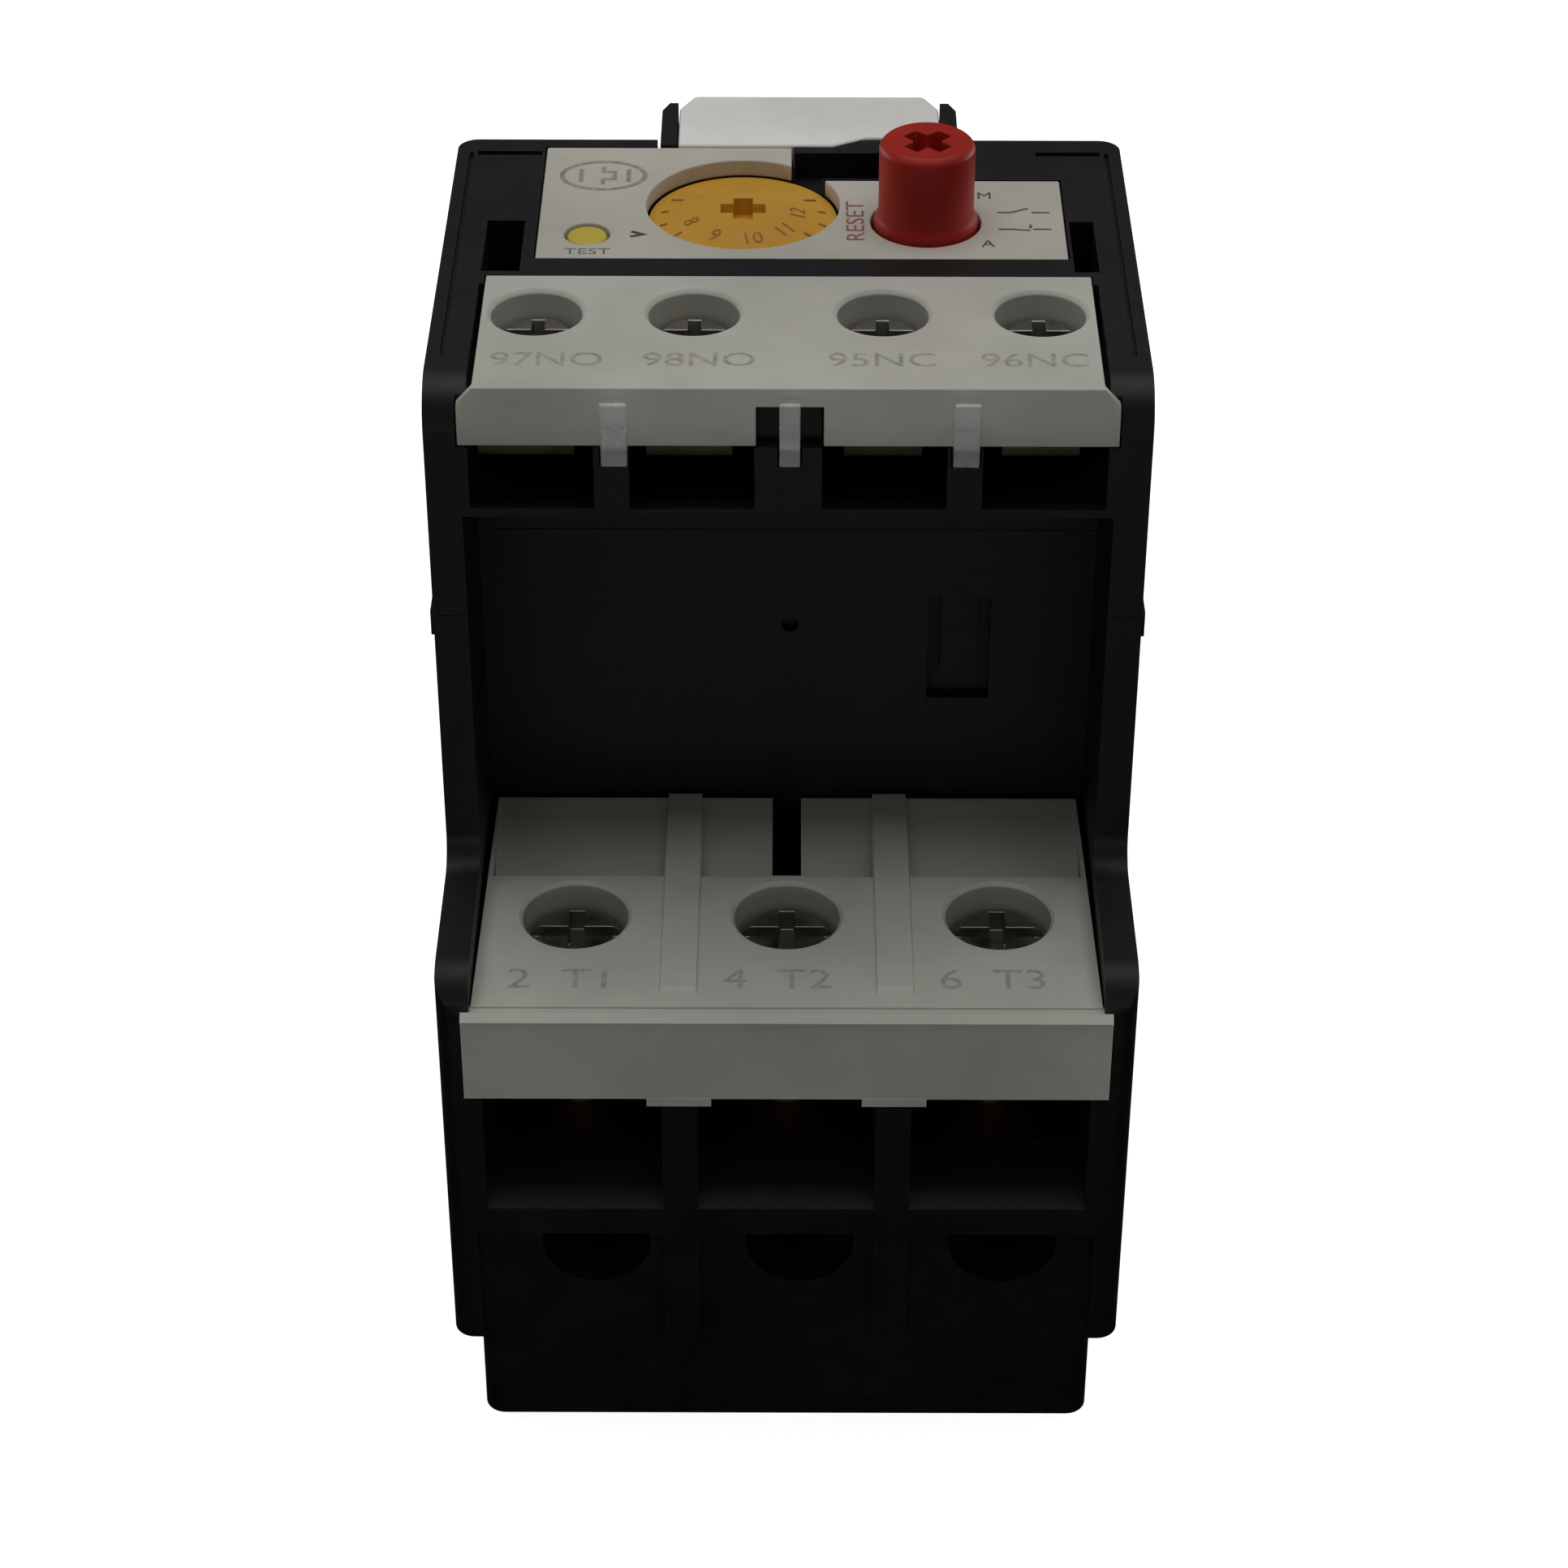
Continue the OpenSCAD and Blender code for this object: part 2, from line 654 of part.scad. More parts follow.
module tag_holder() {
  color([0.07, 0.07, 0.07]) {
    difference() {
      translate([0, 0, holder_z[1]]) linear_extrude(holder_z[2] - holder_z[1])
        polygon(concat(tag_front(holder_x[0], holder_x[1], tag_y[0]),
          [[holder_x[1], holder_y1 - 1.2], [holder_x[1] - 0.5, holder_y1],
           [holder_x[0] + 0.5, holder_y1], [holder_x[0], holder_y1 - 1.2]]));
      block([tag_x[0] - gap, tag_y[0] - over, tag_z[0] - eps], [tag_x[1] + gap, tag_y[1], deck_z + over]);
    }
    block([holder_x[0], y_far + gap, holder_z[0]], [holder_x[1], y_far + holder_wall, holder_z[1] + eps]);
  }
}

module marker_tag() {
  chamfer = [1.0, 2.0];
  color([0.78, 0.77, 0.74])
  translate([0, 0, tag_z[0]]) linear_extrude(tag_z[1] - tag_z[0])
    polygon(concat(tag_front(tag_x[0], tag_x[1], tag_y[0]),
      [[tag_x[1], tag_y[1] - chamfer[1]], [tag_x[1] - chamfer[0], tag_y[1]],
       [tag_x[0] + chamfer[0], tag_y[1]], [tag_x[0], tag_y[1] - chamfer[1]]]));
}

module mechanism_plate() {
  color([0.25, 0.25, 0.24])
  difference() {
    block([-cheek_in + gap, chamber_y0 + gap, plate_z], [cheek_in - gap, chamber_y1 - gap, split_z]);
    block([nose_x[0] - 0.4, nose_y[0] - 0.5, plate_z - over],
      [nose_x[1] + 2.5, nose_y[1] + 0.5, split_z + over]);
    upright(lever_pivot, pin_r, plate_z - over, split_z + over);
  }
}

module line_pin(x) {
  color([0.72, 0.7, 0.66]) {
    rod([x, line_z], line_pin_d / 2, strip_y, y_far + collar_t + line_pin_l);
    rod([x, line_z], line_pin_d / 2 + 1, y_far + gap / 2, y_far + collar_t);
    block([x - 2.5, strip_y - 0.9, line_z - 4], [x + 2.5, strip_y + eps, strip_top]);
    block([x - 1, strip_y - 3, strip_top - lug_t], [x + 1, strip_y, strip_top]);
  }
}

module load_bar(x) {
  upright_y = chamber_y0 + 4;
  lug_z = 12;
  color([0.72, 0.5, 0.3])
  difference() {
    union() {
      block([x - bar_w / 2, bar_y0, bar_top - bar_t], [x + bar_w / 2, upright_y, bar_top]);
      block([x - 2.5, upright_y - 1.2, lug_z], [x + 2.5, upright_y, bar_top - bar_t + eps]);
      block([x - 1, upright_y - eps, lug_z], [x + 1, upright_y + 1.6, lug_z + lug_t]);
    }
    upright([x, power_y], power_shank_r + run_fit, bar_top - bar_t - over, bar_top + over);
  }
}

module bimetal_strip(x) {
  color([0.66, 0.62, 0.55])
    block([x - bimetal_t / 2, bimetal_y0, bimetal_z0], [x + bimetal_t / 2, bimetal_y1, bimetal_top]);
}

module heater_winding(x) {
  color([0.5, 0.47, 0.44])
    translate([x, (bimetal_y0 + bimetal_y1) / 2, 13.4]) rotate(-90)
      helix(rx = 4.4, ry = 1.7, rise = 30.8, turns = 8, wire = 0.45);
}

module power_clamp(x) {
  hx = saddle_half[0];
  hy = saddle_half[1];
  color([0.72, 0.71, 0.68])
  difference() {
    block([x - hx, power_y - hy, saddle_z0], [x + hx, power_y + hy, saddle_z1]);
    block([x - hx + sheet_t, power_y - hy - over, saddle_z0 + sheet_t],
      [x + hx - sheet_t, power_y + hy + over, saddle_z1 - sheet_t]);
    upright([x, power_y], power_shank_r + run_fit, saddle_z0 - over, saddle_z1 + over);
  }
}

// Terminal screw: shank from tip_z to head_z, chamfered head with a cross and a straight slot
module terminal_screw(pos, shank_r, tip_z, head_z, head_r, head_h, cross, slot_w, bevel) {
  head_top = head_z + head_h;
  difference() {
    union() {
      upright(pos, shank_r, tip_z, head_z + eps);
      upright(pos, head_r, head_z, head_top - bevel);
      taper(pos, head_r, -1.2 * bevel, head_top - bevel, head_top);
    }
    cross_slot(pos, head_top, cross, slot_w, 3 * bevel);
    head_slot(pos, head_top, slot_w, 0.8, head_r + over);
  }
}

module power_screw(x) {
  color([0.7, 0.69, 0.66])
    terminal_screw(pos = [x, power_y], shank_r = power_shank_r, tip_z = power_tip_z,
      head_z = saddle_z1 + gap, head_r = power_head_d / 2, head_h = power_head_h,
      cross = 4.4, slot_w = 1.0, bevel = 0.5);
}

module aux_terminal(i) {
  x = aux_x[i];
  leg = aux_leg[i];
  closes = i < 2;
  leg_y = closes ? no_leg_y : nc_leg_y;
  nc_face = nc_leg_y + leg_t;
  pad_y = closes ? [no_leg_y - contact_h, no_leg_y + eps] : [nc_face - eps, nc_face + contact_h];
  z0 = aux_plate_z;
  plate_half = 2.5;
  color([0.75, 0.66, 0.42])
  difference() {
    union() {
      block([min(x - plate_half, leg[0]), -6, z0],
        [max(x + plate_half, leg[1]), aux_wall_y0 - gap, z0 + aux_plate_t]);
      block([leg[0], -4, z0], [leg[1], leg_y + leg_t, z0 + aux_plate_t]);
      block([leg[0], leg_y, leg_bottom], [leg[1], leg_y + leg_t, z0 + eps]);
      rod([mean(leg), contact_z], contact_r, pad_y[0], pad_y[1]);
    }
    upright([x, aux_y], aux_shank_r + run_fit, z0 - over, z0 + 2);
  }
}

module aux_clamp(x) {
  lip = [0.7, 0.3];
  hx = aux_clamp_half[0];
  hy = aux_clamp_half[1];
  color([0.74, 0.73, 0.7])
  difference() {
    union() {
      block([x - hx, aux_y - hy, aux_clamp_z], [x + hx, aux_y + hy, aux_clamp_z + aux_clamp_t]);
      for (x0 = [x - hx, x + hx - lip[0]])
        block([x0, aux_y - hy, aux_clamp_z - lip[1]], [x0 + lip[0], aux_y + hy, aux_clamp_z + eps]);
    }
    upright([x, aux_y], aux_shank_r + run_fit, aux_clamp_z - over, aux_clamp_z + 2);
  }
}

module aux_screw(x) {
  color([0.7, 0.69, 0.66])
    terminal_screw(pos = [x, aux_y], shank_r = aux_shank_r, tip_z = aux_tip_z,
      head_z = aux_clamp_z + aux_clamp_t + eps, head_r = aux_head_d / 2, head_h = aux_head_h,
      cross = 3.4, slot_w = 0.8, bevel = 0.4);
}

module trip_slide() {
  finger_gap = 0.3;
  color([0.8, 0.78, 0.7]) {
    block([slide_x[0], slide_y[0], slide_z0], [slide_x[1], slide_y[1], slide_z1]);
    for (x = poles) let (x0 = x + bimetal_t / 2 + finger_gap)
      block([x0, bimetal_y0 - 0.6, slide_z0], [x0 + slide_finger, slide_y[0] + gap, slide_z1]);
    // nose that passes over the first bimetal strip and reaches up to the compensation strip
    block([nose_x[0], slide_y[0], slide_z1 - eps], [nose_x[1], slide_y[1], nose_arm_z[1]]);
    block([nose_x[0], nose_y[0], nose_arm_z[0]], [nose_x[1], slide_y[1], nose_arm_z[1]]);
    block([nose_x[0], nose_y[0], nose_arm_z[0]], [nose_x[1], nose_y[1], nose_top]);
  }
}

module trip_lever() {
  z0 = lever_z[0];
  z1 = lever_z[1];
  at = lever_pivot;
  half_slot = comp_t / 2 + 0.02;
  color([0.75, 0.73, 0.66])
  difference() {
    union() {
      upright(at, lever_hub_r, z0, z1);
      block([at[0] - lever_arm, comp_y[1] - 2.2, z0], [at[0] + lever_arm, at[1] - 0.7, z1]);
      block([at[0], at[1] - lever_arm / 2, z0], [at[0] + lever_reach, at[1] + lever_arm / 2, z1]);
    }
    upright(at, pin_r + run_fit, z0 - over, z1 + over);
    block([at[0] - half_slot, comp_y[1] - 3, z0 - over], [at[0] + half_slot, comp_y[1] + 0.02, z1 + over]);
  }
}

module compensation_strip() {
  color([0.66, 0.62, 0.55]) block([lever_pivot[0] - comp_t / 2, comp_y[0], lever_z[0]],
    [lever_pivot[0] + comp_t / 2, comp_y[1], lever_z[1]]);
}

module lever_pin() {
  color([0.7, 0.7, 0.7]) upright(lever_pivot, pin_r, plate_z, lever_z[1] + 0.7);
}

module adjuster_pin() {
  color([0.7, 0.7, 0.7]) upright(adjuster_pivot, pin_r, adjuster_pin_z[0], adjuster_pin_z[1]);
}

module adjusting_lever() {
  tip_r = 0.7;
  arm_half = 0.6;
  tip = dial_pos + [0, cam_mid_r + 0.2 + tip_r];
  run = tip - adjuster_pivot;
  color([0.75, 0.73, 0.66])
  difference() {
    union() {
      upright(adjuster_pivot, 1.8, cam_z0, cam_z0 + cam_h);
      upright(tip, tip_r, cam_z0, cam_z0 + cam_h);
      translate([adjuster_pivot[0], adjuster_pivot[1], cam_z0]) rotate(atan2(run[1], run[0]))
        translate([0, -arm_half, 0]) cube([norm(run), 2 * arm_half, cam_h]);
    }
    upright(adjuster_pivot, pin_r + run_fit, cam_z0 - over, cam_z0 + cam_h + over);
  }
}

module contact_carrier() {
  color([0.8, 0.78, 0.7]) {
    block([carrier_x[0], carrier_y[0], carrier_z[0]], [carrier_x[1], carrier_y[1], carrier_z[2]]);
    // hook that the trip lever pushes
    block([hook_x[0], carrier_y[1] - gap, carrier_z[1]], [hook_x[1], hook_y[1], carrier_z[2]]);
    block([hook_x[0], hook_y[0], split_z + 0.3], [hook_x[1], hook_y[1], carrier_z[2]]);
  }
}

module no_bridge() {
  color([0.78, 0.74, 0.66]) block([carrier_x[0], carrier_y[1], bridge_z[0]],
    [aux_leg[1][1] + gap, carrier_y[1] + bridge_t, bridge_z[1]]);
}

module nc_bridge() {
  color([0.78, 0.74, 0.66]) block([aux_leg[2][0] - gap, carrier_y[0] - bridge_t, bridge_z[0]],
    [aux_leg[3][1] + gap, carrier_y[0], bridge_z[1]]);
}

function cam_r(a) = cam_mid_r - cam_rise * (a - 90) * PI / 180;

module setting_dial() {
  disc_r = dial_well_d / 2 - 0.15;
  crown_top = dial_top + dial_crown_h;
  color([0.85, 0.6, 0.15])
  difference() {
    union() {
      upright(dial_pos, disc_r, dial_top - dial_t, dial_top);
      taper(dial_pos, dial_crown_r[1], dial_crown_r[0] - dial_crown_r[1], dial_top - eps, crown_top);
      upright(dial_pos, dial_shaft_r, cam_shaft_z, dial_top - over);
      translate([dial_pos[0], dial_pos[1], cam_z0]) linear_extrude(cam_h)
        polygon([for (a = [-45:15:225]) cam_r(a) * [cos(a), sin(a)]]);
    }
    cross_slot(dial_pos, crown_top, 3.0, 1.3, 1.3);
  }
}

module reset_selector() {
  color([0.2, 0.2, 0.2])
  difference() {
    union() {
      upright(reset_pos, selector_r, selector_z0, selector_z1);
      upright(reset_pos + [selector_pin_at, 0], selector_pin_r, selector_z0 - selector_pin_l,
        selector_z0 + eps);
    }
    upright(reset_pos, reset_stem_r + run_fit, selector_z0 - 2, selector_z1 + over);
  }
}

module reset_button() {
  top = deck_z + reset_h;
  bevel = 0.4;
  r = reset_d / 2;
  skirt_r = reset_skirt_d / 2;
  color([0.62, 0.1, 0.08])
  difference() {
    union() {
      upright(reset_pos, reset_stem_r, reset_stem_z, reset_skirt_z + eps);
      upright(reset_pos, skirt_r, reset_skirt_z, deck_z + reset_flare[0]);
      taper(reset_pos, skirt_r, r - skirt_r, deck_z + reset_flare[0], deck_z + reset_flare[1]);
      upright(reset_pos, r, deck_z + reset_flare[1] - gap, top - bevel);
      taper(reset_pos, r, -bevel, top - bevel, top);
    }
    cross_slot(reset_pos, top, 3.3, 1.2, 1.6, 45);
  }
}

module reset_spring() {
  color([0.6, 0.6, 0.6]) translate([reset_pos[0], reset_pos[1], selector_z1 + 0.35])
    helix(rx = 2.7, ry = 2.7, rise = 3.7, turns = 4, wire = 0.25);
}

module test_button() {
  color([0.85, 0.75, 0.25]) {
    upright(test_pos, test_d / 2, test_z[2] - 0.3, test_z[3]);
    upright(test_pos, test_flange_r, test_z[1], test_z[2]);
    upright(test_pos, test_stem_r, test_z[0], test_z[1] + gap);
  }
}

module test_spring() {
  color([0.6, 0.6, 0.6]) translate([test_pos[0], test_pos[1], test_well_z[0] + 0.25])
    helix(rx = 1.3, ry = 1.3, rise = 3.9, turns = 5, wire = 0.2);
}

rear_housing();
front_housing();
label_plate();
aux_terminal_cover();
cover_latch(latch_x[0], latch_w[0]);  // cover_latch_1
cover_latch(latch_x[1], latch_w[1]);  // cover_latch_2
cover_latch(latch_x[2], latch_w[2]);  // cover_latch_3
power_terminal_cover();
tag_holder();
marker_tag();
mechanism_plate();
line_pin(poles[0]);  // line_pin_1
line_pin(poles[1]);  // line_pin_2
line_pin(poles[2]);  // line_pin_3
load_bar(poles[0]);  // load_bar_1
load_bar(poles[1]);  // load_bar_2
load_bar(poles[2]);  // load_bar_3
bimetal_strip(poles[0]);  // bimetal_strip_1
bimetal_strip(poles[1]);  // bimetal_strip_2
bimetal_strip(poles[2]);  // bimetal_strip_3
heater_winding(poles[0]);  // heater_winding_1
heater_winding(poles[1]);  // heater_winding_2
heater_winding(poles[2]);  // heater_winding_3
power_clamp(poles[0]);  // power_clamp_1
power_clamp(poles[1]);  // power_clamp_2
power_clamp(poles[2]);  // power_clamp_3
power_screw(poles[0]);  // power_screw_1
power_screw(poles[1]);  // power_screw_2
power_screw(poles[2]);  // power_screw_3
aux_terminal(0);  // aux_terminal_97
aux_terminal(1);  // aux_terminal_98
aux_terminal(2);  // aux_terminal_95
aux_terminal(3);  // aux_terminal_96
aux_clamp(aux_x[0]);  // aux_clamp_97
aux_clamp(aux_x[1]);  // aux_clamp_98
aux_clamp(aux_x[2]);  // aux_clamp_95
aux_clamp(aux_x[3]);  // aux_clamp_96
aux_screw(aux_x[0]);  // aux_screw_97
aux_screw(aux_x[1]);  // aux_screw_98
aux_screw(aux_x[2]);  // aux_screw_95
aux_screw(aux_x[3]);  // aux_screw_96
trip_slide();
trip_lever();
compensation_strip();
lever_pin();
adjusting_lever();
adjuster_pin();
contact_carrier();
no_bridge();
nc_bridge();
setting_dial();
reset_selector();
reset_button();
reset_spring();
test_button();
test_spring();
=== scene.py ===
import json
import math

import bmesh
import bpy
from mathutils import Matrix, Vector


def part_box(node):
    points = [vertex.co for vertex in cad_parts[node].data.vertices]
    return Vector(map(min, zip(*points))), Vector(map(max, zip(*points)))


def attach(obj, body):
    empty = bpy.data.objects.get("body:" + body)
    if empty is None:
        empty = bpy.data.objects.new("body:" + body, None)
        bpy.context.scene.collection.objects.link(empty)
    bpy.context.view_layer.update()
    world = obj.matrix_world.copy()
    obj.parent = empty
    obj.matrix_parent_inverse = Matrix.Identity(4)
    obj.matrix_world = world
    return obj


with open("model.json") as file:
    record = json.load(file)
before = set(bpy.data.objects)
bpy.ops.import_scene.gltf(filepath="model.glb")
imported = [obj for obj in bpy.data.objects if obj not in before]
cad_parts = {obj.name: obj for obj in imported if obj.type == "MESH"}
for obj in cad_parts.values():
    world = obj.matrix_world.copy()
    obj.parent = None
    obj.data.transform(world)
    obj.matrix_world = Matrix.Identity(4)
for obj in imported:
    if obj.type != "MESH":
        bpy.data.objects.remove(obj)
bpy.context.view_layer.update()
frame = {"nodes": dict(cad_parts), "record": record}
nodes = frame["nodes"]

MM = 0.001


# ---------------------------------------------------------------- camera

LENS_MM = 89.44
SENSOR_MM = 36.0
PITCH_DEG = 35.3
CAMERA_MM = (0.0, -219.4, 192.2)
CAMERA_SHIFT_X = -0.0021
ROLL_DEG = 0.15


def make_camera():
    """Camera on the load side, above the object, looking down at it."""
    data = bpy.data.cameras.new("camera")
    data.lens = LENS_MM
    data.sensor_width = SENSOR_MM
    data.shift_x = CAMERA_SHIFT_X
    camera = bpy.data.objects.new("camera", data)
    camera.location = Vector(CAMERA_MM) * MM
    tilt = Matrix.Rotation(math.radians(90 - PITCH_DEG), 4, "X")
    roll = Matrix.Rotation(math.radians(ROLL_DEG), 4, "Z")
    camera.rotation_euler = (tilt @ roll).to_euler()
    bpy.context.scene.collection.objects.link(camera)
    bpy.context.scene.camera = camera


make_camera()


# ---------------------------------------------------------------- shader building

# noise scales, in cycles per metre
FLOW_SCALE = 70
WIDE_SCALE = 240
PATCH_SCALE = 420
RUB_SCALE = 500
STREAK_SCALE = 1400
INK_SCALE = 1800
GRIT_SCALE = 2600
PAPER_SCALE = 9

# heights of the surface grain, and the width of a rubbed edge
GRIT_DEPTH_MM = 0.02
FLOW_DEPTH_MM = 0.15
FLOW_STRENGTH = 0.12
STREAK_DEPTH_MM = 0.01
STREAK_STRENGTH = 0.5
RUBBED_EDGE_MM = 0.35
EDGE_SAMPLES = 4

DUST_COLOUR = (0.42, 0.4, 0.37)
STREAK_STRETCH = (1, 1, 30)


class Shader:
    """A material under construction: adds nodes and links them by name."""

    def __init__(self, name):
        self.material = bpy.data.materials.new(name)
        self.material.use_nodes = True
        self.tree = self.material.node_tree
        self.bsdf = self.tree.nodes["Principled BSDF"]
        self.coords = self.add("ShaderNodeTexCoord").outputs["Object"]

    def add(self, kind, **settings):
        made = self.tree.nodes.new(kind)
        for key, value in settings.items():
            setattr(made, key, value)
        return made

    def plug(self, value, socket):
        """Links an output to a socket, or puts a constant on it."""
        if hasattr(value, "links"):
            self.tree.links.new(value, socket)
        else:
            socket.default_value = value

    def set(self, made, **values):
        for key, value in values.items():
            self.plug(value, made.inputs[key.replace("_", " ")])

    def noise(self, scale, detail=3.0, rough=0.55, vector=None):
        made = self.add("ShaderNodeTexNoise")
        self.set(made, Vector=vector or self.coords, Scale=scale, Detail=detail, Roughness=rough)
        return made.outputs["Fac"]

    def ramp(self, value, low, high, out_low=0.0, out_high=1.0):
        made = self.add("ShaderNodeMapRange")
        self.set(made, Value=value, From_Min=low, From_Max=high, To_Min=out_low, To_Max=out_high)
        return made.outputs["Result"]

    def math(self, operation, a, b):
        made = self.add("ShaderNodeMath", operation=operation)
        self.plug(a, made.inputs[0])
        self.plug(b, made.inputs[1])
        return made.outputs[0]

    def mix(self, factor, a, b):
        """Mixes two colours, each an output or three numbers."""
        made = self.add("ShaderNodeMix", data_type="RGBA", blend_type="MIX")
        colour_sockets = [socket for socket in made.inputs if socket.type == "RGBA"]
        self.plug(factor, made.inputs[0])
        for value, socket in zip((a, b), colour_sockets):
            self.plug(value if hasattr(value, "links") else (*value, 1.0), socket)
        return next(socket for socket in made.outputs if socket.type == "RGBA")

    def edges(self, radius):
        """1 where the surface turns within the radius, 0 on flats."""
        bevel = self.add("ShaderNodeBevel", samples=EDGE_SAMPLES)
        self.set(bevel, Radius=radius)
        geometry = self.add("ShaderNodeNewGeometry")
        dot = self.add("ShaderNodeVectorMath", operation="DOT_PRODUCT")
        self.plug(bevel.outputs["Normal"], dot.inputs[0])
        self.plug(geometry.outputs["Normal"], dot.inputs[1])
        return self.ramp(dot.outputs["Value"], 0.995, 0.9)

    def bump(self, height, distance, strength, normal=None):
        made = self.add("ShaderNodeBump")
        self.set(made, Height=height, Distance=distance, Strength=strength)
        if normal:
            self.set(made, Normal=normal)
        return made.outputs["Normal"]

    def finish(self, colour, roughness, normal=None, **constants):
        self.set(self.bsdf, Base_Color=colour, Roughness=roughness, **constants)
        if normal:
            self.set(self.bsdf, Normal=normal)
        return self.material


def shade(colour, gain, lift=0.0):
    return tuple(min(1.0, c * gain + lift) for c in colour)


# ---------------------------------------------------------------- materials

def moulded(name, colour, rough=0.5, grain=0.35, wear=0.12, dust=0.08, **constants):
    """Moulded thermoplastic: spark-eroded grain, faint flow marks, dust and rubbed edges."""
    s = Shader(name)
    flow = s.noise(FLOW_SCALE, 4, 0.6)
    grit = s.noise(GRIT_SCALE, 2, 0.5)
    wide = s.noise(WIDE_SCALE, 5, 0.65)
    base = s.mix(s.ramp(flow, 0.3, 0.7), shade(colour, 0.86), shade(colour, 1.1, 0.002))
    dust_mask = s.math("MULTIPLY", s.ramp(wide, 0.5, 0.75), dust)
    base = s.mix(dust_mask, base, DUST_COLOUR)
    rub_mask = s.ramp(s.noise(RUB_SCALE, 4), 0.35, 0.65, 0.2 * wear, wear)
    rubbed = s.math("MULTIPLY", s.edges(RUBBED_EDGE_MM * MM), rub_mask)
    base = s.mix(rubbed, base, shade(colour, 1.5, 0.05))
    roughness = s.math("ADD", s.ramp(wide, 0.3, 0.7, rough - 0.06, rough + 0.06),
                       s.ramp(grit, 0.2, 0.8, -0.04, 0.04))
    normal = s.bump(grit, GRIT_DEPTH_MM * MM, grain)
    normal = s.bump(flow, FLOW_DEPTH_MM * MM, FLOW_STRENGTH, normal)
    return s.finish(base, roughness, normal, **constants)


def plated(name, colour, rough=0.32, tint=(0.5, 0.45, 0.35)):
    """Plated or rolled metal: fine drawn streaks, dull patches and a faint tint."""
    s = Shader(name)
    mapping = s.add("ShaderNodeMapping")
    s.set(mapping, Vector=s.coords, Scale=STREAK_STRETCH)
    streaks = s.noise(STREAK_SCALE, 3, 0.6, mapping.outputs["Vector"])
    patches = s.noise(PATCH_SCALE, 4, 0.6)
    base = s.mix(s.ramp(patches, 0.45, 0.7, 0.0, 0.45), colour, tint)
    base = s.mix(s.ramp(streaks, 0.4, 0.7, 0.0, 0.2), base, shade(colour, 0.7))
    roughness = s.math("ADD", s.ramp(patches, 0.3, 0.7, rough - 0.08, rough + 0.1),
                       s.ramp(streaks, 0.3, 0.7, -0.04, 0.04))
    normal = s.bump(streaks, STREAK_DEPTH_MM * MM, STREAK_STRENGTH)
    return s.finish(base, roughness, normal, Metallic=1.0)


def ink(name, colour):
    """Printed mark: slightly patchy ink."""
    s = Shader(name)
    patches = s.noise(INK_SCALE, 3, 0.6)
    base = s.mix(s.ramp(patches, 0.35, 0.7), colour, shade(colour, 1.5, 0.03))
    return s.finish(base, s.ramp(patches, 0.3, 0.7, 0.5, 0.65))


PLASTICS = {
    "black_plastic": dict(colour=(0.0033, 0.0032, 0.003), rough=0.53, grain=0.45, wear=0.1, dust=0.01,
                          Specular_IOR_Level=0.32),
    "label_grey": dict(colour=(0.54, 0.515, 0.45), rough=0.55, grain=0.15, wear=0.08, dust=0.05),
    "cover_grey": dict(colour=(0.555, 0.545, 0.484), rough=0.5, grain=0.3, wear=0.08, dust=0.05),
    "latch_plastic": dict(colour=(0.78, 0.78, 0.77), rough=0.24, grain=0.1, wear=0.08, dust=0.02,
                          Transmission_Weight=0.55, IOR=1.46),
    "tag_white": dict(colour=(0.9, 0.885, 0.85), rough=0.45, grain=0.12, wear=0.04, dust=0.03),
    "mechanism_plastic": dict(colour=(0.03, 0.03, 0.03)),
    "natural_plastic": dict(colour=(0.6, 0.56, 0.44), rough=0.42),
    "dial_yellow": dict(colour=(0.64, 0.33, 0.028), rough=0.42, grain=0.15, wear=0.1, dust=0.04),
    "reset_red": dict(colour=(0.4, 0.016, 0.008), rough=0.45, grain=0.2, wear=0.05, dust=0.012,
                      Specular_IOR_Level=0.25),
    "test_yellow": dict(colour=(0.65, 0.51, 0.07), rough=0.38, grain=0.15, wear=0.05, dust=0.02),
}
METALS = {
    "tinned_copper": dict(colour=(0.62, 0.6, 0.56), rough=0.3),
    # copper is darkened far below bare copper: painted shade of the deep terminal bays it sits in
    "copper": dict(colour=(0.1, 0.05, 0.03), rough=0.55, tint=(0.05, 0.03, 0.02)),
    "bimetal": dict(colour=(0.5, 0.47, 0.42), rough=0.35),
    "heater_wire": dict(colour=(0.3, 0.27, 0.25), rough=0.4, tint=(0.2, 0.12, 0.1)),
    "clamp_steel": dict(colour=(0.55, 0.54, 0.5), rough=0.36),
    "screw_steel": dict(colour=(0.33, 0.32, 0.28), rough=0.36, tint=(0.24, 0.2, 0.12)),
    # contact_brass is darkened far below brass: painted shade under the aux cover's front fascia
    "contact_brass": dict(colour=(0.1, 0.085, 0.055), rough=0.5, tint=(0.06, 0.05, 0.03)),
    "pin_steel": dict(colour=(0.55, 0.55, 0.55), rough=0.28),
    "spring_steel": dict(colour=(0.45, 0.45, 0.45), rough=0.3),
}
INKS = {
    "ink_grey": (0.3, 0.29, 0.255),
    "ink_logo": (0.27, 0.235, 0.19),
    "ink_dark": (0.05, 0.05, 0.05),
    "ink_red": (0.25, 0.08, 0.09),
    "ink_green": (0.1, 0.13, 0.1),
    "ink_brown": (0.26, 0.1, 0.015),
}
MATERIALS = {name: moulded(name, **values) for name, values in PLASTICS.items()}
MATERIALS.update({name: plated(name, **values) for name, values in METALS.items()})
MATERIALS.update({name: ink(name, colour) for name, colour in INKS.items()})


def dress_cad():
    for part in frame["record"]["subparts"]:
        obj = nodes[part["node"]]
        obj.data.materials.clear()
        obj.data.materials.append(MATERIALS[part["material_slot"]])


dress_cad()


# ---------------------------------------------------------------- softened edges

